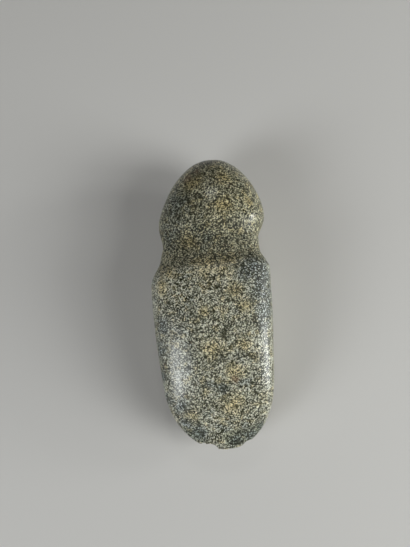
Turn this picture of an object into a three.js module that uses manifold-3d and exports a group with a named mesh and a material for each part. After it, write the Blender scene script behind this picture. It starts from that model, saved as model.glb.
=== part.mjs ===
// The head of a full-grooved stone axe, ground and polished from one cobble, lying on one of its faces.
// Millimetres, +Z up. The bit (the cutting end) points along -Y and the poll (the rounded butt) along +Y.
// The origin is under the middle of the stone, at the level of the ground that it lies on.
import * as THREE from "three";
import { mergeVertices } from "three/addons/utils/BufferGeometryUtils.js";
import Module from "manifold-3d";

const wasm = await Module();
wasm.setup();

// Along the stone
const LENGTH = 165; // bit edge to poll end
const SHOULDER_FROM_BIT = 94; // the widest and thickest place, just below the groove
const POLL_DOME = 36; // how far the rounded poll reaches in from its end
const BIT_ARC = 43.5; // how far the round of the bit reaches back along the two edges
const BIT_TAPER = 92; // how far the wedge of the bit reaches back along the upper face
const UNDER_TAPER = 76; // and along the under face, which stays level for longer

// Across the stone and through it, before the groove is cut and the ends close
const BIT_WIDTH = 58.1;
const SHOULDER_WIDTH = 66.9;
const POLL_WIDTH = 60.9;
const SHOULDER_THICKNESS = 46;
const POLL_THICKNESS = 40;

// The share of each width that lies left of the long axis, and of each thickness that lies above it
const BIT_LEFT_SHARE = 0.534;
const SHOULDER_LEFT_SHARE = 0.565;
const POLL_LEFT_SHARE = 0.53;
const TOP_SHARE = 0.511;

// The hafting groove, pecked right round the stone
const GROOVE_FROM_POLL = 55; // poll end to the middle of the groove's floor, on the long axis
const GROOVE_FLOOR = 7; // width of the floor
const GROOVE_POLL_WALL = 13.5; // length of the slope up to the poll
const GROOVE_BLADE_WALL = 12.5; // length of the slope up to the shoulder
const GROOVE_LEFT_DEPTH = 3.9;
const GROOVE_RIGHT_DEPTH = 4.7;
const GROOVE_FACE_DEPTH = 3.4;

// The groove and its two walls rise towards the poll by this much for each millimetre to the right
const SLANT = 0.07;
const SLANT_FADES_OVER = { bit: [20, 95], poll: [127, 165] }; // from the bit edge, towards the two ends

// Roundness of the cross sections, as the power of a superellipse: 2 is an ellipse, more is boxier
const LEFT_POWER = 2.35;
const RIGHT_POWER = 4.3;
const POLL_POWER = 2.15;
const BIT_POWER = 1.95;
const BIT_THINS_FROM = 34; // the sections turn into a lens over this length of the bit

// How the two ends close: the power of the curve along the stone, and the root that rounds its tip
const BIT_PLAN = { power: 2.8, root: 0.5 };
const BIT_WEDGE = { power: 1.9, root: 0.76 };
const POLL_LEFT_PLAN = { power: 1.34, root: 0.5 };
const POLL_RIGHT_PLAN = { power: 1.52, root: 0.5 };
const POLL_SIDE = { power: 1.9, root: 0.5 };

// The stone is not quite straight: its blade bends down, so that the bit lies lower than the long axis
const BIT_DROOP = 8;
const DROOP_REACH = 95;

// The worn spot that the stone lies on
const REST_FLAT_DEPTH = 0.7;

// Flake scars on the upper face of the bit. Each is a scoop with its deepest point so far right of the axis
// and from the bit edge, with its own radius across the face and the same radius along it and through it.
const SCAR_ALONG = 15;
const SCARS = [
  { right: 6, fromBit: 7, depth: 1.1, across: 34 },
  { right: 16, fromBit: 9.5, depth: 1, across: 24 },
  { right: -17, fromBit: 9, depth: 0.9, across: 26 },
];

// The two overlapping bites out of the edge itself, with their radii across the edge and through the stone
const BITE_THROUGH = 14;
const BITES = [
  { right: -13, depth: 0.9, across: 9 },
  { right: -9.3, depth: 2.2, across: 5.2 },
];

// How finely the surface is divided along, across and through the stone
const ROWS = { along: 46, across: 18, through: 16 };

const BOTTOM = 0;

// 0 below from, 1 above to, and a smooth rise between
function ease(from, to, at) {
  return THREE.MathUtils.smoothstep(at, from, to);
}

function mix(a, b, share) {
  return THREE.MathUtils.lerp(a, b, share);
}

// A side that closes in a rounded tip: 0 at the tip and 1 from reach onwards
function tip(distance, reach, { power, root }) {
  const left = Math.max(0, 1 - distance / reach);
  return (1 - left ** power) ** root;
}

// How much of the groove's depth is cut at this place: 1 on its floor, 0 beyond its walls
function grooveAt(fromBit) {
  const past = fromBit - (LENGTH - GROOVE_FROM_POLL);
  const wall = past > 0 ? GROOVE_POLL_WALL : GROOVE_BLADE_WALL;
  return 1 - ease(GROOVE_FLOOR / 2, GROOVE_FLOOR / 2 + wall, Math.abs(past));
}

// How much of the slant is felt at this place: all of it at the groove, none at the two ends
function slantAt(fromBit) {
  return ease(...SLANT_FADES_OVER.bit, fromBit) * (1 - ease(...SLANT_FADES_OVER.poll, fromBit));
}

// How far the middle of the stone lies below the long axis
function droopAt(fromBit) {
  return BIT_DROOP * Math.max(0, 1 - fromBit / DROOP_REACH) ** 2;
}

// Distance from the middle of the stone to one of its sides
function sideAt(fromBit, side) {
  const pollFromBit = LENGTH - POLL_DOME;
  const blade = mix(side.bit, side.shoulder, ease(0, SHOULDER_FROM_BIT, fromBit));
  const body = mix(blade, side.poll, ease(SHOULDER_FROM_BIT, pollFromBit, fromBit));
  const uncut = body * tip(fromBit, side.bitReach, side.bitTip) * tip(LENGTH - fromBit, POLL_DOME, side.pollTip);
  return uncut - side.groove * grooveAt(fromBit);
}

function sectionPower(fromBit, toRight) {
  const blade = mix(LEFT_POWER, RIGHT_POWER, ease(-0.6, 0.6, toRight));
  const body = mix(blade, POLL_POWER, ease(SHOULDER_FROM_BIT, LENGTH - POLL_DOME, fromBit));
  return mix(BIT_POWER, body, ease(0, BIT_THINS_FROM, fromBit));
}

const left = {
  bit: BIT_WIDTH * BIT_LEFT_SHARE,
  shoulder: SHOULDER_WIDTH * SHOULDER_LEFT_SHARE,
  poll: POLL_WIDTH * POLL_LEFT_SHARE,
  groove: GROOVE_LEFT_DEPTH,
  bitReach: BIT_ARC,
  bitTip: BIT_PLAN,
  pollTip: POLL_LEFT_PLAN,
};
const right = {
  ...left,
  bit: BIT_WIDTH - left.bit,
  shoulder: SHOULDER_WIDTH - left.shoulder,
  poll: POLL_WIDTH - left.poll,
  groove: GROOVE_RIGHT_DEPTH,
  pollTip: POLL_RIGHT_PLAN,
};
const top = {
  bit: SHOULDER_THICKNESS * TOP_SHARE,
  shoulder: SHOULDER_THICKNESS * TOP_SHARE,
  poll: POLL_THICKNESS * TOP_SHARE,
  groove: GROOVE_FACE_DEPTH,
  bitReach: BIT_TAPER,
  bitTip: BIT_WEDGE,
  pollTip: POLL_SIDE,
};
const under = {
  ...top,
  bit: SHOULDER_THICKNESS - top.bit,
  shoulder: SHOULDER_THICKNESS - top.shoulder,
  poll: POLL_THICKNESS - top.poll,
  bitReach: UNDER_TAPER,
};

// The point of the stone's surface that a direction from its middle stands for
function surfacePoint(direction) {
  const fromBit = (LENGTH * (1 + direction.y)) / 2;
  const around = new THREE.Vector2(direction.x, direction.z);
  const point = new THREE.Vector3(0, fromBit, -droopAt(fromBit));
  if (around.length() < 1e-9) return point;
  around.normalize();
  const power = sectionPower(fromBit, around.x);
  const reach = (Math.abs(around.x) ** power + Math.abs(around.y) ** power) ** (-1 / power);
  point.x = sideAt(fromBit, around.x < 0 ? left : right) * around.x * reach;
  point.z += sideAt(fromBit, around.y < 0 ? under : top) * around.y * reach;
  point.y += SLANT * slantAt(fromBit) * point.x;
  return point;
}

// The upper face at one place of the plan, with the direction that it faces
function upperFace(x, fromBit) {
  const edge = sideAt(fromBit, x < 0 ? left : right);
  const power = sectionPower(fromBit, Math.sign(x));
  const height = (places) => {
    const share = Math.min(1, Math.abs(places.x) / sideAt(places.y, x < 0 ? left : right));
    return sideAt(places.y, top) * (1 - share ** power) ** (1 / power) - droopAt(places.y);
  };
  const step = Math.min(1, edge / 50);
  const here = height({ x, y: fromBit });
  const toRight = (height({ x: x + step, y: fromBit }) - height({ x: x - step, y: fromBit })) / (2 * step);
  const toPoll = (height({ x, y: fromBit + step }) - height({ x, y: fromBit - step })) / (2 * step);
  const faces = new THREE.Vector3(-toRight, -toPoll, 1).normalize();
  return { place: new THREE.Vector3(x, fromBit, here), faces };
}

// A closed surface with the quads of a box, bulged out to a unit sphere by equal angles
function unitSphere({ along, across, through }) {
  const box = new THREE.BoxGeometry(2, 2, 2, across, along, through);
  box.deleteAttribute("normal");
  box.deleteAttribute("uv");
  const sphere = mergeVertices(box);
  const places = sphere.getAttribute("position");
  const place = new THREE.Vector3();
  for (let i = 0; i < places.count; i++) {
    place.fromBufferAttribute(places, i);
    place.set(...place.toArray().map((v) => Math.tan((v * Math.PI) / 4)));
    place.normalize();
    places.setXYZ(i, place.x, place.y, place.z);
  }
  return sphere;
}

function mapPoints(geometry, change) {
  const places = geometry.getAttribute("position");
  const place = new THREE.Vector3();
  for (let i = 0; i < places.count; i++) {
    place.copy(change(place.fromBufferAttribute(places, i)));
    places.setXYZ(i, place.x, place.y, place.z);
  }
  return geometry;
}

function toSolid(geometry) {
  const plain = geometry.clone();
  plain.deleteAttribute("normal");
  plain.deleteAttribute("uv");
  const merged = mergeVertices(plain, 1e-4);
  return new wasm.Manifold(
    new wasm.Mesh({
      numProp: 3,
      vertProperties: new Float32Array(merged.getAttribute("position").array),
      triVerts: new Uint32Array(merged.index.array),
    }),
  );
}

function toGeometry(solid) {
  const mesh = solid.getMesh();
  const geometry = new THREE.BufferGeometry();
  geometry.setAttribute("position", new THREE.BufferAttribute(mesh.vertProperties, 3));
  geometry.setIndex(new THREE.BufferAttribute(mesh.triVerts, 1));
  geometry.computeVertexNormals();
  return geometry;
}

// The stone that one blow took away: an ellipsoid whose lowest point lies at this depth below the surface
function scoop({ place, faces, depth, sizes }) {
  const shape = new THREE.SphereGeometry(1, 48, 32);
  shape.scale(...sizes);
  shape.translate(0, 0, sizes[2] - depth);
  const across = new THREE.Vector3(1, 0, 0).addScaledVector(faces, -faces.x).normalize();
  const along = new THREE.Vector3().crossVectors(faces, across);
  shape.applyMatrix4(new THREE.Matrix4().makeBasis(across, along, faces).setPosition(place));
  return toSolid(shape);
}

function scarCutter({ right: x, fromBit, depth, across }) {
  return scoop({ ...upperFace(x, fromBit), depth, sizes: [across, SCAR_ALONG, SCAR_ALONG] });
}

function biteCutter({ right: x, depth, across }) {
  let fromBit = 0;
  while (sideAt(fromBit, x < 0 ? left : right) < Math.abs(x)) fromBit += 0.01;
  const faces = new THREE.Vector3(0, -1, 0);
  const place = new THREE.Vector3(x, fromBit, -droopAt(fromBit));
  return scoop({ place, faces, depth, sizes: [across, BITE_THROUGH, across] });
}

// Everything above the ground, which cuts the rest flat
function aboveGround(level) {
  const room = new THREE.BoxGeometry(LENGTH, 2 * LENGTH, LENGTH);
  room.translate(0, LENGTH / 2, LENGTH / 2 + level);
  return toSolid(room);
}

function makeStone() {
  let stone = toSolid(mapPoints(unitSphere(ROWS), surfacePoint));
  for (const cutter of [...SCARS.map(scarCutter), ...BITES.map(biteCutter)]) {
    stone = stone.subtract(cutter);
  }
  const ground = stone.boundingBox().min[2] + REST_FLAT_DEPTH;
  stone = stone.intersect(aboveGround(ground));
  const { min, max } = stone.boundingBox();
  const middle = [0, 1].map((axis) => (min[axis] + max[axis]) / 2);
  return toGeometry(stone.translate([-middle[0], -middle[1], BOTTOM - ground]));
}

const speckledStone = new THREE.MeshStandardMaterial({ color: 0x5c5d51, roughness: 0.45, metalness: 0 });
const axeHead = new THREE.Mesh(makeStone(), speckledStone);
axeHead.name = "axe_head";

const axe = new THREE.Group();
axe.add(axeHead);

export default axe;
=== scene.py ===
"""The head of a grooved stone axe: the ground, pecked and speckled stone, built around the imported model."""

import math
from typing import NamedTuple

import bpy
import numpy as np
from mathutils import Matrix, Vector, noise


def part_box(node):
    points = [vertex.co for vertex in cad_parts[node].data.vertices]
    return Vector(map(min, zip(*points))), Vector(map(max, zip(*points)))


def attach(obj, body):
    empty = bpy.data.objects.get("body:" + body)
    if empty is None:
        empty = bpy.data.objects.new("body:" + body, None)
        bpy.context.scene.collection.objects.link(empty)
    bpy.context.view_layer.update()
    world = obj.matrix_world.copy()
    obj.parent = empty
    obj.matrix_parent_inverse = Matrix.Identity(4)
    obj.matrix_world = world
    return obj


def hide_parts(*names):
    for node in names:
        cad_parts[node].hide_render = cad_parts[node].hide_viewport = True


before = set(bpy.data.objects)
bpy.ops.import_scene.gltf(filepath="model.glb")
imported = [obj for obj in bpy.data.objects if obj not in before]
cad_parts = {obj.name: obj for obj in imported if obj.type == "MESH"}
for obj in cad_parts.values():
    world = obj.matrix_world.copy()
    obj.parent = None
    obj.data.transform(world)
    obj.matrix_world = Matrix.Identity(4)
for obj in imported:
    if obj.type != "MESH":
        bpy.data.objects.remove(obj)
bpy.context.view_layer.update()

# The stone is shaped in millimetres and turned into metres when its mesh is made
MM = 0.001

# Along the stone
LENGTH = 165
SHOULDER_FROM_BIT = 94
POLL_DOME = 36
BIT_ARC = 43.5
BIT_TAPER = 92
UNDER_TAPER = 76

# The hafting groove
GROOVE_FROM_POLL = 55
GROOVE_FLOOR = 7
GROOVE_POLL_WALL = 13.5
GROOVE_BLADE_WALL = 12.5
SLANT = 0.07
SLANT_FADES_OVER_BIT = (20, 95)
SLANT_FADES_OVER_POLL = (127, 165)

# Roundness of the cross sections, as the power of a superellipse
LEFT_POWER = 2.35
RIGHT_POWER = 4.3
POLL_POWER = 2.15
BIT_POWER = 1.95
BIT_THINS_FROM = 34
# How far to either side of the middle the left roundness blends into the right one
BLEND_OF_SIDES = 0.6

# The stone is not quite straight: the blade bends down towards the bit
BIT_DROOP = 8
DROOP_REACH = 95

REST_FLAT_DEPTH = 0.7

# How finely the skin is divided, and how much the rows lean towards the two ends of the stone
ROWS_ALONG = 264
ROWS_ACROSS = 100
ROWS_THROUGH = 60
ROWS_LEAN_TO_ENDS = 0.3

# Where a skin begins and is full: the groove's by the share of its depth, the others along the stone
GROOVE_SKIN = (0.04, 0.6)
POLL_SKIN = (LENGTH - GROOVE_FROM_POLL, LENGTH - GROOVE_FROM_POLL + 20)
BLADE_SKIN = (4, 22)

# The share of the groove's pecking that the rest has, and the share of waves and pits that the bit loses
BLADE_PECKING = 0.05
POLL_PECKING = 0.14
BIT_LOSES_WAVES = 0.8
BIT_LOSES_PITS = 0.7

# The depths of a cut between which its floor turns into a fresh break
BREAK_SHOWS = (0.05, 0.35)

# The noise: how fast its finer waves grow weaker, and how many times finer each octave is
NOISE_SEED = Vector((3.1, 7.7, 1.9))
NOISE_FALLOFF = 0.9
NOISE_STEP = 2.1


class Tip(NamedTuple):
    """How a side closes at an end: the power of its curve, and the root that rounds the tip."""

    power: float
    root: float


class Side(NamedTuple):
    """One side: its distance from the long axis at three stations, the groove's depth, and how it closes."""

    bit: float
    shoulder: float
    poll: float
    groove: float
    bit_reach: float
    bit_tip: Tip
    poll_tip: Tip


class Ripples(NamedTuple):
    """A layer of smooth noise: how high and how long its waves are, and its number of octaves."""

    height: float
    size: float
    octaves: int


class Pitting(NamedTuple):
    """A layer of round pits: their depth, their cells' size, the share of cells with a pit, and a seed."""

    depth: float
    cell: float
    share: float
    seed: float


BIT_PLAN = Tip(2.8, 0.5)
BIT_WEDGE = Tip(1.9, 0.76)
POLL_LEFT_PLAN = Tip(1.34, 0.5)
POLL_RIGHT_PLAN = Tip(1.52, 0.5)
POLL_SIDE = Tip(1.9, 0.5)

LEFT = Side(31.0, 37.8, 32.3, 3.9, BIT_ARC, BIT_PLAN, POLL_LEFT_PLAN)
RIGHT = Side(27.1, 29.1, 28.6, 4.7, BIT_ARC, BIT_PLAN, POLL_RIGHT_PLAN)
TOP = Side(23.5, 23.5, 20.5, 3.4, BIT_TAPER, BIT_WEDGE, POLL_SIDE)
UNDER = Side(22.5, 22.5, 19.5, 3.4, UNDER_TAPER, BIT_WEDGE, POLL_SIDE)

HAND_GRINDING = [Ripples(0.28, 26, 2), Ripples(0.1, 9, 2)]
ROUGHNESS = [Ripples(0.12, 2.6, 3)]
BREAKING = [Ripples(0.16, 1.8, 3), Ripples(0.06, 0.9, 2)]
PECKING = [Pitting(0.26, 2.3, 0.85, 1.7), Pitting(0.12, 1.3, 0.6, 4.2)]
STRAY_PITS = [Pitting(0.15, 3.4, 0.12, 9.1)]

# The smallest pit's radius and how much larger they get, as shares of a cell
PIT_RADIUS = 0.26
PIT_RADIUS_SPREAD = 0.2

# Numbers that keep the two draws of a cell apart: whether it has a pit, and how large the pit is
CHANCE_DRAW = 7.3
RADIUS_DRAW = 5.1


class Scar(NamedTuple):
    """A flake scar on the upper face of the bit: its place, its depth and the radii of its scoop."""

    right: float
    from_bit: float
    depth: float
    across: float
    along: float


class Bite(NamedTuple):
    """A bite out of the edge of the bit: its place, its depth and the radii of its scoop."""

    right: float
    depth: float
    across: float
    through: float


SCARS = [
    Scar(6, 7, 1.1, 34, 15),
    Scar(16, 9.5, 1.0, 24, 15),
    Scar(-17, 9, 0.9, 26, 15),
    Scar(12, 4.6, 0.6, 9, 6),
    Scar(1.5, 3.6, 0.6, 6, 5),
    Scar(-22, 12, 0.6, 8, 8),
    Scar(-14, 5.4, 0.6, 7, 5),
]
BITES = [
    Bite(-13, 0.9, 9, 14),
    Bite(-9.3, 2.2, 5.2, 14),
    Bite(-12.4, 1.7, 1.3, 8),
    Bite(2.6, 0.2, 3, 6),
    Bite(14, 0.2, 6, 6),
]


class Patch(NamedTuple):
    """A cloud of one tint, or of painted shade or sheen, on the upper side of the stone, and how far it
    reaches.
    """

    right: float
    from_bit: float
    size: float


# The ragged edge of a patch, and the distances from its middle that it fades over, as shares of its size
PATCH_EDGE = [Ripples(0.3, 4, 3), Ripples(0.25, 1.6, 2)]
PATCH_FADES_OVER = (0.1, 1.25)

# Darker, duller and bluish: partly a bluish tint, partly painted shade on the left rim, the poll's left side,
# the right shoulder and the bit
SLATE_AND_PAINTED_SHADE_PATCHES = [
    Patch(25, 82, 11),
    Patch(19, 96, 7),
    Patch(-23, 134, 14),
    Patch(-25, 117, 11),
    Patch(-23, 24, 6),
    Patch(-15, 9, 8),
    Patch(-32, 67, 6),
    Patch(-33, 55, 7),
    Patch(-33, 42, 5.5),
    Patch(-31, 29, 5.5),
    Patch(14, 92, 6),
    Patch(-1, 32, 4),
    Patch(13, 7, 6),
    Patch(20, 12, 5),
    Patch(5, 4, 5),
    Patch(-21, 15, 6),
    Patch(-11, 117, 5),
    Patch(24, 70, 8),
    Patch(24, 92, 9),
    Patch(-5, 114, 4),
]
# A little lighter and yellow
OCHRE_PATCHES = [
    Patch(-12, 146, 8),
    Patch(4, 131, 7),
    Patch(-6, 97, 8),
    Patch(5, 97, 8),
    Patch(8, 82, 6),
    Patch(-8, 72, 4),
    Patch(-5, 53, 7),
    Patch(6, 41, 6.5),
    Patch(4, 24, 8),
    Patch(-19, 19, 6),
    Patch(13, 74, 5),
    Patch(-16, 113, 8),
    Patch(11, 54, 5),
    Patch(-31, 88, 5.5),
    Patch(-27, 95, 4),
    Patch(5, 148, 6),
    Patch(19, 133, 4),
]
# Red-brown
RUST_PATCHES = [
    Patch(-14.5, 150, 3.5),
    Patch(-9, 154, 3),
    Patch(6, 37, 3),
]
# More dark grains, placed as painted shade on the bit's scars, the right shoulder, the poll's left side and
# in the groove
DARK_GRAIN_AND_PAINTED_SHADE_PATCHES = [
    Patch(21, 94, 8),
    Patch(24, 90, 7),
    Patch(20.5, 85, 6),
    Patch(17.5, 64, 5),
    Patch(13.5, 9, 4.5),
    Patch(7, 5.5, 4),
    Patch(-24, 134, 7),
    Patch(-9.5, 111.5, 4),
    Patch(4.5, 108.5, 4),
]
# Painted sheen and highlights: more pale grains where the stone shines, on the poll's glint and streak and
# the blade's sheens, and a better polish
POLISH_AND_PAINTED_SHEEN_PATCHES = [
    Patch(-23.5, 83.5, 10.5),
    Patch(-17, 93, 6),
    Patch(-29, 48, 4),
    Patch(11, 31.5, 3),
    Patch(19.5, 125, 7),
    Patch(-3, 138, 2.4),
    Patch(2, 138.4, 2.2),
    Patch(8, 1, 2.5),
    Patch(-20, 58, 6),
    Patch(-22, 38, 6.5),
]
PATCHES = {
    "slate_and_painted_shade": SLATE_AND_PAINTED_SHADE_PATCHES,
    "ochre": OCHRE_PATCHES,
    "rust": RUST_PATCHES,
    "dark_grains_and_painted_shade": DARK_GRAIN_AND_PAINTED_SHADE_PATCHES,
    "polish_and_painted_sheen": POLISH_AND_PAINTED_SHEEN_PATCHES,
}


def ease(start, end, at):
    """0 below start, 1 above end, and a smooth rise between."""
    share = np.clip((at - start) / (end - start), 0, 1)
    return share * share * (3 - 2 * share)


def mix(a, b, share):
    return a + (b - a) * share


def tip(distance, reach, shape):
    """The share of its full size that a side has at this distance from an end."""
    left = np.maximum(0, 1 - distance / reach)
    return np.maximum(0, 1 - left**shape.power) ** shape.root


def groove_share(from_bit):
    """How much of the groove's depth is cut: 1 on its floor, 0 beyond its walls."""
    past = from_bit - (LENGTH - GROOVE_FROM_POLL)
    wall = np.where(past > 0, GROOVE_POLL_WALL, GROOVE_BLADE_WALL)
    return 1 - ease(0, 1, (np.abs(past) - GROOVE_FLOOR / 2) / wall)


def slant_share(from_bit):
    """How much of the slant is felt: all of it at the groove, none at the two ends."""
    return ease(*SLANT_FADES_OVER_BIT, from_bit) * (1 - ease(*SLANT_FADES_OVER_POLL, from_bit))


def droop(from_bit):
    """How far the middle of the stone lies below the long axis."""
    return BIT_DROOP * np.maximum(0, 1 - from_bit / DROOP_REACH) ** 2


def half_size(from_bit, side):
    """Distance from the long axis to one side of the stone."""
    blade = mix(side.bit, side.shoulder, ease(0, SHOULDER_FROM_BIT, from_bit))
    body = mix(blade, side.poll, ease(SHOULDER_FROM_BIT, LENGTH - POLL_DOME, from_bit))
    at_bit = tip(from_bit, side.bit_reach, side.bit_tip)
    at_poll = tip(LENGTH - from_bit, POLL_DOME, side.poll_tip)
    return body * at_bit * at_poll - side.groove * groove_share(from_bit)


def section_power(from_bit, to_right):
    """The roundness of the cross section, on its left side below 0 and on its right side above."""
    blade = mix(LEFT_POWER, RIGHT_POWER, ease(-BLEND_OF_SIDES, BLEND_OF_SIDES, to_right))
    body = mix(blade, POLL_POWER, ease(SHOULDER_FROM_BIT, LENGTH - POLL_DOME, from_bit))
    return mix(BIT_POWER, body, ease(0, BIT_THINS_FROM, from_bit))


def skin(from_bit, to_right, up):
    """Points of the surface at these distances from the bit, in these directions round the long axis."""
    power = section_power(from_bit, to_right)
    reach = (np.abs(to_right) ** power + np.abs(up) ** power) ** (-1 / power)
    edge = np.where(to_right < 0, half_size(from_bit, LEFT), half_size(from_bit, RIGHT))
    face = np.where(up < 0, half_size(from_bit, UNDER), half_size(from_bit, TOP))
    x = edge * to_right * reach
    z = face * up * reach - droop(from_bit)
    y = from_bit + SLANT * slant_share(from_bit) * x
    return np.stack([x, y, z], axis=1)


def upper_face(x, from_bit):
    """The place on the upper face above a point of the plan, and the direction that it faces."""

    def height(x_here, from_bit_here):
        side = half_size(from_bit_here, LEFT if x_here < 0 else RIGHT)
        power = section_power(from_bit_here, math.copysign(1, x_here))
        share = min(1, abs(x_here) / side)
        rise = half_size(from_bit_here, TOP) * (1 - share**power) ** (1 / power)
        return float(rise - droop(from_bit_here))

    step = 0.5
    to_right = (height(x + step, from_bit) - height(x - step, from_bit)) / (2 * step)
    to_poll = (height(x, from_bit + step) - height(x, from_bit - step)) / (2 * step)
    return Vector((x, from_bit, height(x, from_bit))), Vector((-to_right, -to_poll, 1)).normalized()


def box_shell(across, along, through):
    """The lattice points on the surface of a box, each in -1 to 1, and the quads between them."""
    counts = np.array([across, along, through])
    places = {}
    corners = []
    quads = []

    def number(point):
        key = tuple(point)
        if key not in places:
            places[key] = len(corners)
            corners.append(key)
        return places[key]

    for axis in range(3):
        first, second = (axis + 1) % 3, (axis + 2) % 3
        for end in (0, counts[axis]):
            grid = np.empty((counts[first] + 1, counts[second] + 1), dtype=int)
            for i in range(counts[first] + 1):
                for j in range(counts[second] + 1):
                    point = [0, 0, 0]
                    point[axis], point[first], point[second] = int(end), i, j
                    grid[i, j] = number(point)
            quad_corners = [grid[:-1, :-1], grid[1:, :-1], grid[1:, 1:], grid[:-1, 1:]]
            side = np.stack(quad_corners, axis=-1).reshape(-1, 4)
            quads.append(side if end else side[:, ::-1])
    return 2 * np.array(corners) / counts - 1, np.concatenate(quads)


def stone_lattice():
    """The divided skin of the stone, with how far along the stone each point was taken."""
    lattice, quads = box_shell(ROWS_ACROSS, ROWS_ALONG, ROWS_THROUGH)
    sphere = np.tan(lattice * math.pi / 4)
    sphere /= np.linalg.norm(sphere, axis=1, keepdims=True)
    lean = ROWS_LEAN_TO_ENDS
    along = sphere[:, 1] * (1 + lean) - lean * sphere[:, 1] ** 3
    from_bit = LENGTH * (1 + along) / 2
    around = np.arctan2(sphere[:, 2], sphere[:, 0])
    points = skin(from_bit, np.cos(around), np.sin(around))
    return points, quads, from_bit


def normals_of(points, quads):
    """The direction that the surface faces at each of its points."""
    first, second, third, fourth = (points[quads[:, corner]] for corner in range(4))
    faces = np.cross(third - first, fourth - second)
    total = np.zeros_like(points)
    for corner in range(4):
        np.add.at(total, quads[:, corner], faces)
    return total / np.linalg.norm(total, axis=1, keepdims=True)


def waves(points, layers):
    """The sum of these layers of smooth noise, each between about -1 and 1 times its height."""
    total = np.zeros(len(points))
    for layer in layers:
        heights = [
            noise.fractal(Vector(point) + NOISE_SEED, NOISE_FALLOFF, NOISE_STEP, layer.octaves)
            for point in points / layer.size
        ]
        total += layer.height * np.array(heights)
    return total


def pits(points, layers):
    """The sum of these layers of round pits: how far each point lies below the surface."""
    total = np.zeros(len(points))
    for layer in layers:
        offset = Vector((layer.seed, 2 * layer.seed, 3 * layer.seed))
        depths = np.zeros(len(points))
        for i, point in enumerate(points / layer.cell):
            distances, centres = noise.voronoi(Vector(point) + offset)
            chance = noise.cell(centres[0] * CHANCE_DRAW + offset)
            if chance < layer.share:
                draw = noise.cell(centres[0] * RADIUS_DRAW - offset)
                radius = PIT_RADIUS + PIT_RADIUS_SPREAD * draw
                depths[i] = max(0, 1 - (distances[0] / radius) ** 2)
        total += layer.depth * depths
    return total


def scoop(points, place, faces, depth, sizes):
    """Pushes what lies above a scoop's floor down onto it, and says how far each point went.

    The sizes are the scoop's radii across and along the surface and into it.
    """
    faces = np.array(faces)
    across = np.array([1.0, 0, 0]) - faces * faces[0]
    across /= np.linalg.norm(across)
    along = np.cross(faces, across)
    local = points - np.array(place)
    height = local @ faces
    from_middle = (local @ across / sizes[0]) ** 2 + (local @ along / sizes[1]) ** 2
    floor = sizes[2] - depth - sizes[2] * np.sqrt(np.maximum(0, 1 - from_middle))
    cut = np.where((from_middle < 1) & (height > floor), height - floor, 0)
    points -= cut[:, None] * faces
    return cut


def edge_of_bit(right):
    """The place on the edge of the bit that lies this far to the right of the long axis."""
    side = LEFT if right < 0 else RIGHT
    step = 0.01
    from_bit = 0
    while half_size(from_bit, side) < abs(right):
        from_bit += step
    return Vector((right, from_bit, -droop(from_bit)))


def chip(points):
    """Takes the flakes off the bit, and says how freshly broken each point is, from 0 to 1."""
    cuts = []
    for scar in SCARS:
        place, faces = upper_face(scar.right, scar.from_bit)
        cuts.append(scoop(points, place, faces, scar.depth, (scar.across, scar.along, scar.along)))
    for bite in BITES:
        place = edge_of_bit(bite.right)
        sizes = (bite.across, bite.through, bite.across)
        cuts.append(scoop(points, place, (0, -1, 0), bite.depth, sizes))
    return ease(*BREAK_SHOWS, np.max(cuts, axis=0))


def patches(points, listed):
    """How far each point lies inside the ragged clouds of this list, from 0 to 1."""
    ragged = waves(points, PATCH_EDGE)
    share = np.zeros(len(points))
    for patch in listed:
        middle, _ = upper_face(patch.right, patch.from_bit)
        distance = np.linalg.norm(points - np.array(middle), axis=1) / patch.size
        share = np.maximum(share, 1 - ease(*PATCH_FADES_OVER, distance + ragged))
    return share


def relief(points, pecked, on_poll, near_bit):
    """How far the grinding and pecking raise or lower each point of the surface."""
    pecking = np.clip(pecked + POLL_PECKING * on_poll + BLADE_PECKING, 0, 1)
    raised = waves(points, HAND_GRINDING) * (1 - BIT_LOSES_WAVES * near_bit)
    raised += (waves(points, ROUGHNESS) - pits(points, PECKING)) * pecking
    raised -= pits(points, STRAY_PITS) * (1 - BIT_LOSES_PITS * near_bit)
    return raised


def lay_down(points):
    """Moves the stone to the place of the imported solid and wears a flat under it."""
    low, high = (np.array(corner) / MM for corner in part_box("axe_head"))
    middle = (points.min(0) + points.max(0)) / 2
    points[:, :2] += ((low + high) / 2 - middle)[:2]
    points[:, 2] += low[2] - (points[:, 2].min() + REST_FLAT_DEPTH)
    points[:, 2] = np.maximum(points[:, 2], low[2])


def stone_mesh():
    """The mesh of the stone, with an attribute for each kind of skin and patch that the material reads."""
    points, quads, from_bit = stone_lattice()
    masks = {name: patches(points, listed) for name, listed in PATCHES.items()}
    masks["pecked"] = ease(*GROOVE_SKIN, groove_share(from_bit))
    masks["poll"] = ease(*POLL_SKIN, from_bit)
    near_bit = 1 - ease(*BLADE_SKIN, from_bit)
    raised = relief(points, masks["pecked"], masks["poll"], near_bit)
    points += raised[:, None] * normals_of(points, quads)
    masks["broken"] = chip(points)
    crumbled = masks["broken"] * waves(points, BREAKING)
    points += crumbled[:, None] * normals_of(points, quads)
    lay_down(points)

    mesh = bpy.data.meshes.new("stone")
    mesh.from_pydata((points * MM).tolist(), [], quads.tolist())
    mesh.update()
    mesh.shade_smooth()
    for name, values in masks.items():
        layer = mesh.attributes.new(name, "FLOAT", "POINT")
        layer.data.foreach_set("value", values.astype(np.float32))
    return mesh


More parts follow.
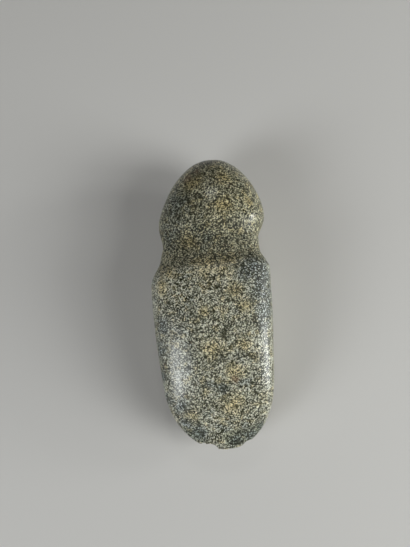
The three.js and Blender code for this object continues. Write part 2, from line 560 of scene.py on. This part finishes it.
class Graph:
    """A short way to write down a node tree: each call adds a node and gives back one of its outputs."""

    def __init__(self, material):
        material.use_nodes = True
        self.tree = material.node_tree
        self.tree.nodes.clear()

    def node(self, kind, inputs=(), **settings):
        made = self.tree.nodes.new(kind)
        for name, value in settings.items():
            setattr(made, name, value)
        for name, value in dict(inputs).items():
            socket = made.inputs[name]
            if isinstance(value, bpy.types.NodeSocket):
                self.tree.links.new(value, socket)
            else:
                socket.default_value = value
        return made

    def math(self, operation, first, second, third=0.0):
        made = self.node("ShaderNodeMath", {0: first, 1: second, 2: third}, operation=operation)
        return made.outputs[0]

    def vector_math(self, operation, inputs):
        return self.node("ShaderNodeVectorMath", inputs, operation=operation).outputs[0]

    def weighted(self, weights, value):
        """The value plus each of these attributes times its weight."""
        for name, weight in weights.items():
            value = self.math("MULTIPLY_ADD", self.attribute(name), weight, value)
        return value

    def between(self, value, start, end, low, high):
        """A smooth rise from low to high while the value goes from start to end."""
        sockets = {"Value": value, "From Min": start, "From Max": end, "To Min": low, "To Max": high}
        made = self.node("ShaderNodeMapRange", sockets, interpolation_type="SMOOTHSTEP")
        return made.outputs["Result"]

    def mix(self, share, under, over, blend="MIX"):
        made = self.node("ShaderNodeMix", {"Factor": share}, data_type="RGBA", blend_type=blend)
        colours = {socket.name: socket for socket in made.inputs if socket.type == "RGBA"}
        for name, value in (("A", under), ("B", over)):
            if isinstance(value, bpy.types.NodeSocket):
                self.tree.links.new(value, colours[name])
            else:
                colours[name].default_value = (*value, 1)
        return next(socket for socket in made.outputs if socket.type == "RGBA")

    def noise(self, place, layer, output="Fac"):
        sockets = {
            "Vector": place,
            "Scale": 1 / (layer.size * MM),
            "Detail": layer.detail,
            "Roughness": layer.roughness,
        }
        return self.node("ShaderNodeTexNoise", sockets).outputs[output]

    def cells(self, place, size):
        """Cells of this size: the node, and three random numbers for each of them."""
        made = self.node("ShaderNodeTexVoronoi", {"Vector": place, "Scale": 1 / (size * MM)})
        return made, self.node("ShaderNodeSeparateColor", {"Color": made.outputs["Color"]}).outputs

    def shifted(self, place, by, amount):
        """The place moved by a noise colour, about its middle grey, by up to this many millimetres."""
        centred = self.vector_math("SUBTRACT", {0: by, 1: (0.5, 0.5, 0.5)})
        scaled = self.vector_math("SCALE", {0: centred, "Scale": 2 * amount * MM})
        return self.vector_math("ADD", {0: place, 1: scaled})

    def ramp(self, value, stops):
        made = self.node("ShaderNodeValToRGB", {"Fac": value})
        elements = made.color_ramp.elements
        while len(elements) < len(stops):
            elements.new(1.0)
        for element, (at, colour) in zip(elements, stops):
            element.position = at
            element.color = (*colour, 1)
        return made.outputs["Color"]

    def attribute(self, name):
        return self.node("ShaderNodeAttribute", attribute_name=name).outputs["Fac"]


class Noise(NamedTuple):
    """The size of a noise texture's waves in millimetres, its detail and its roughness."""

    size: float
    detail: float
    roughness: float


class Clouds(NamedTuple):
    """A tint: the noise of its clouds, where they begin and are full in it, and how strong all of it is."""

    patches: str
    noise: Noise
    begin: float
    full: float
    strength: float
    patch_strength: float
    tint: tuple
    blend: str


# Colours of the minerals, and where each lies between the darkest and the palest grain
NEAR_BLACK = (0.014, 0.0145, 0.004)
DARK_GREEN = (0.04, 0.042, 0.02)
GREY_GREEN = (0.1, 0.101, 0.057)
OLIVE_TAN = (0.217, 0.212, 0.136)
CREAM = (0.505, 0.49, 0.35)
PALE = (0.86, 0.85, 0.71)
MINERALS = [
    (0.32, NEAR_BLACK),
    (0.44, DARK_GREEN),
    (0.535, GREY_GREEN),
    (0.605, OLIVE_TAN),
    (0.69, CREAM),
    (0.8, PALE),
]

# The grains: the sizes of two sets of cells, and how much each set counts for the lightness of a grain
GRAIN_SIZE = 0.52
SMALL_GRAIN_SIZE = 0.3
GRAIN_WEIGHT = 0.58
SMALL_GRAIN_WEIGHT = 0.42
GRAIN_WOBBLE = Noise(0.5, 2, 0.6)
WOBBLE_REACH = 0.13

# How far the lightness of the grains spreads, and how much further it does in the groove and on the poll
SPREAD = 1.15
ROUGH_SKIN_SPREAD = 0.5

# The middle lightness, and what moves it up and down
MIDDLE_LIGHTNESS = 0.495
LIGHT_CLOUDS = Noise(9, 3, 0.6)
LIGHT_CLOUDS_REACH = 0.38
CLUMPS = Noise(1.5, 1, 0.5)
CLUMPS_REACH = 0.45
PECKED_CLUMPS_REACH = 0.2
# Painted light: the slate and dark-grain patches lower the lightness where shade falls, the polish patches
# raise it where the stone shines
LIGHTNESS = {"slate_and_painted_shade": -0.11, "dark_grains_and_painted_shade": -0.12, "ochre": 0.05, "pecked": -0.14, "poll": -0.13, "polish_and_painted_sheen": 0.12}

# Pale and black crystals: the random numbers at which they begin and are full, and their cover at each
PALE_CRYSTALS = (0.85, 0.89, 0, 0.78)
BLACK_CRYSTALS = (0.22, 0.17, 0, 0.85)

CLOUDS = [
    Clouds("ochre", Noise(4, 2, 0.55), 0.5, 0.68, 0.5, 0.7, (1.16, 0.97, 0.62), "MULTIPLY"),
    # Bluish clouds, whose patches also paint shade
    Clouds("slate_and_painted_shade", Noise(7.3, 2, 0.5), 0.56, 0.72, 0.6, 1, (0.76, 0.84, 1.0), "MULTIPLY"),
    Clouds("rust", Noise(3.2, 3, 0.6), 0.67, 0.75, 0.5, 0.5, (0.17, 0.085, 0.045), "MIX"),
]

# What the colour is multiplied by on each kind of skin
POLL_TINT = (0.9, 0.87, 0.75)
GROOVE_TINT = (0.85, 0.82, 0.7)
# The flake scars are darkened: partly the colour of a fresh break, partly painted shade in their hollows
BREAK_TINT_AND_PAINTED_SHADE = (0.6, 0.63, 0.56)
BREAK_TINT_AND_SHADE_SHARE = 0.8

# The roughness of the ground skin: where the noise starts and stops raising it, and its two limits
POLISH = Noise(1.1, 2, 0.6)
POLISH_ROUGHNESS = (0.3, 0.7, 0.27, 0.38)
# What the other skins and the patches add to it
PECKED_ROUGHNESS = 0.25
BROKEN_ROUGHNESS = 0.18
PATCH_ROUGHNESS = {"slate_and_painted_shade": 0.2, "polish_and_painted_sheen": -0.08}

# The finest relief: grit and the grooves between the grains, deeper where the skin is pecked or broken
GRIT = Noise(0.45, 2, 0.7)
GRAIN_RELIEF = -0.3
GRIT_DEPTH = 0.1 * MM
GRIT_STRENGTH = 0.1
GRIT_ON_SKINS = {"broken": 0.4, "pecked": 0.45}

STONE_IOR = 1.6


def grain_colour(graph, place):
    """The colour of each mineral grain, lighter or darker in clouds, and the bigger grains' relief."""
    wobble = graph.noise(place, GRAIN_WOBBLE, "Color")
    wobbly = graph.shifted(place, wobble, WOBBLE_REACH)
    grains, (grain, _, crystal) = graph.cells(wobbly, GRAIN_SIZE)
    _, (_, small_grain, _) = graph.cells(wobbly, SMALL_GRAIN_SIZE)
    small_share = graph.math("MULTIPLY", small_grain, SMALL_GRAIN_WEIGHT)
    blend = graph.math("MULTIPLY_ADD", grain, GRAIN_WEIGHT, small_share)
    rough_skin = graph.math("MAXIMUM", graph.attribute("poll"), graph.attribute("pecked"))
    spread = graph.math("MULTIPLY_ADD", rough_skin, ROUGH_SKIN_SPREAD, SPREAD)

    clouds = graph.math("SUBTRACT", graph.noise(place, LIGHT_CLOUDS), 0.5)
    clumps = graph.math("SUBTRACT", graph.noise(place, CLUMPS), 0.5)
    clumps_reach = graph.weighted({"pecked": PECKED_CLUMPS_REACH}, CLUMPS_REACH)
    lift = graph.math("MULTIPLY", clouds, LIGHT_CLOUDS_REACH)
    lift = graph.math("MULTIPLY_ADD", clumps, clumps_reach, lift)
    # The patches paint shade and sheen into the lightness here
    lift = graph.weighted(LIGHTNESS, lift)
    middle = graph.math("ADD", lift, MIDDLE_LIGHTNESS)
    lightness = graph.math("MULTIPLY_ADD", graph.math("SUBTRACT", blend, 0.5), spread, middle)

    colour = graph.ramp(lightness, MINERALS)
    colour = graph.mix(graph.between(crystal, *PALE_CRYSTALS), colour, PALE)
    colour = graph.mix(graph.between(crystal, *BLACK_CRYSTALS), colour, NEAR_BLACK)
    return colour, grains.outputs["Distance"]


def tinted(graph, place, colour):
    """Ochre, blue-grey and rust clouds over the grains; the blue-grey patches also paint shade."""
    for clouds in CLOUDS:
        drifting = graph.noise(place, clouds.noise)
        drifting = graph.between(drifting, clouds.begin, clouds.full, 0, clouds.strength)
        placed = graph.math("MULTIPLY", graph.attribute(clouds.patches), clouds.patch_strength)
        share = graph.math("MAXIMUM", drifting, placed)
        colour = graph.mix(share, colour, clouds.tint, clouds.blend)
    return colour


def speckled_stone():
    """The material of the stone: its grains, tints, painted shade and sheen, and polish, and its finest
    relief.
    """
    material = bpy.data.materials.new("speckled_stone")
    graph = Graph(material)
    place = graph.node("ShaderNodeTexCoord").outputs["Object"]
    pecked = graph.attribute("pecked")
    broken = graph.attribute("broken")

    minerals, grain_relief = grain_colour(graph, place)
    colour = tinted(graph, place, minerals)
    colour = graph.mix(graph.attribute("poll"), colour, POLL_TINT, "MULTIPLY")
    colour = graph.mix(pecked, colour, GROOVE_TINT, "MULTIPLY")
    # Painted shade and the colour of fresh breaks on the flake scars
    colour = graph.mix(graph.math("MULTIPLY", broken, BREAK_TINT_AND_SHADE_SHARE), colour, BREAK_TINT_AND_PAINTED_SHADE, "MULTIPLY")

    polish = graph.between(graph.noise(place, POLISH), *POLISH_ROUGHNESS)
    pecked_matt = graph.math("MULTIPLY", pecked, PECKED_ROUGHNESS)
    broken_matt = graph.math("MULTIPLY", broken, BROKEN_ROUGHNESS)
    matt = graph.weighted(PATCH_ROUGHNESS, graph.math("MAXIMUM", pecked_matt, broken_matt))

    height = graph.math("MULTIPLY_ADD", grain_relief, GRAIN_RELIEF, graph.noise(place, GRIT))
    strength = graph.weighted(GRIT_ON_SKINS, GRIT_STRENGTH)
    bump_sockets = {"Height": height, "Strength": strength, "Distance": GRIT_DEPTH}
    bump = graph.node("ShaderNodeBump", bump_sockets)

    shader = graph.node(
        "ShaderNodeBsdfPrincipled",
        {
            "Base Color": colour,
            "Roughness": graph.math("ADD", polish, matt),
            "Normal": bump.outputs["Normal"],
            "IOR": STONE_IOR,
        },
    )
    graph.node("ShaderNodeOutputMaterial", {"Surface": shader.outputs["BSDF"]})
    return material


def axe_head():
    """The stone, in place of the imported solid."""
    head = bpy.data.objects.new("axe_stone", stone_mesh())
    bpy.context.collection.objects.link(head)
    head.data.materials.append(speckled_stone())
    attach(head, "root")
    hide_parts("axe_head")


# The photograph's view: nearly straight down, with the stone a little below the middle of the picture
ELEVATION = math.radians(78)
ROLL = math.radians(-2.87)
LENS_MM = 39
TARGET = Vector((-2.77, 14.87, 22)) * MM
DISTANCE = 337.5 * MM


def camera():
    back = Vector((0, -math.cos(ELEVATION), math.sin(ELEVATION)))
    level = Vector((1, 0, 0))
    upright = back.cross(level)
    right = level * math.cos(ROLL) + upright * math.sin(ROLL)
    up = upright * math.cos(ROLL) - level * math.sin(ROLL)
    data = bpy.data.cameras.new("camera")
    data.lens = LENS_MM
    data.clip_start = 0.01
    made = bpy.data.objects.new("camera", data)
    place = TARGET + back * DISTANCE
    made.matrix_world = Matrix.Translation(place) @ Matrix((right, up, back)).transposed().to_4x4()
    bpy.context.collection.objects.link(made)
    bpy.context.scene.camera = made


FLOOR_SIZE = 6.0
FLOOR_COLOUR = (0.665, 0.64, 0.62, 1)
FLOOR_ROUGHNESS = 0.8


def floor():
    """A plain pale floor under the stone."""
    bpy.ops.mesh.primitive_plane_add(size=FLOOR_SIZE, location=(0, 0, 0))
    made = bpy.context.object
    made.name = "floor"
    material = bpy.data.materials.new("pale_floor")
    graph = Graph(material)
    sockets = {"Base Color": FLOOR_COLOUR, "Roughness": FLOOR_ROUGHNESS}
    shader = graph.node("ShaderNodeBsdfPrincipled", sockets)
    graph.node("ShaderNodeOutputMaterial", {"Surface": shader.outputs["BSDF"]})
    made.data.materials.append(material)


class Window(NamedTuple):
    """A soft light facing the stone: azimuth from the front towards the right, and elevation, in degrees."""

    azimuth: float
    elevation: float
    distance: float
    width: float
    height: float
    power: float
    colour: tuple


DAYLIGHT = (0.96, 1.0, 0.985)
SKYLIGHT = (0.93, 0.98, 1.0)
WINDOWS = {
    "window_right": Window(72, 20, 1.3, 0.6, 0.6, 7.6, DAYLIGHT),
    "skylight_right": Window(66, 34, 1.3, 0.8, 0.7, 7.2, DAYLIGHT),
    "glint_right": Window(98, 16, 1.2, 0.22, 0.2, 2.7, DAYLIGHT),
    "window_left": Window(-61, 24, 1.2, 0.5, 0.45, 3.2, SKYLIGHT),
    "skylight_left": Window(-54, 34, 1.2, 0.5, 0.45, 3.3, SKYLIGHT),
    "lamp_back": Window(180, 50, 1.2, 0.2, 0.14, 0.65, DAYLIGHT),
}
ROOM_COLOUR = (1.0, 0.93, 0.84, 1)
ROOM_STRENGTH = 0.05


def area_light(name, window):
    data = bpy.data.lights.new(name, "AREA")
    data.shape = "RECTANGLE"
    data.size = window.width
    data.size_y = window.height
    data.energy = window.power
    data.color = window.colour
    made = bpy.data.objects.new(name, data)
    azimuth = math.radians(window.azimuth)
    elevation = math.radians(window.elevation)
    level = math.cos(elevation)
    towards = Vector((math.sin(azimuth) * level, -math.cos(azimuth) * level, math.sin(elevation)))
    made.location = towards * window.distance
    made.rotation_euler = (-towards).to_track_quat("-Z", "Y").to_euler()
    bpy.context.collection.objects.link(made)


def lights():
    """The windows round the stone, and the faint light of the room."""
    for name, window in WINDOWS.items():
        area_light(name, window)
    world = bpy.data.worlds.new("room")
    world.use_nodes = True
    background = world.node_tree.nodes["Background"]
    background.inputs["Color"].default_value = ROOM_COLOUR
    background.inputs["Strength"].default_value = ROOM_STRENGTH
    bpy.context.scene.world = world


camera()
floor()
lights()
axe_head()
bpy.context.scene.view_settings.view_transform = "Standard"
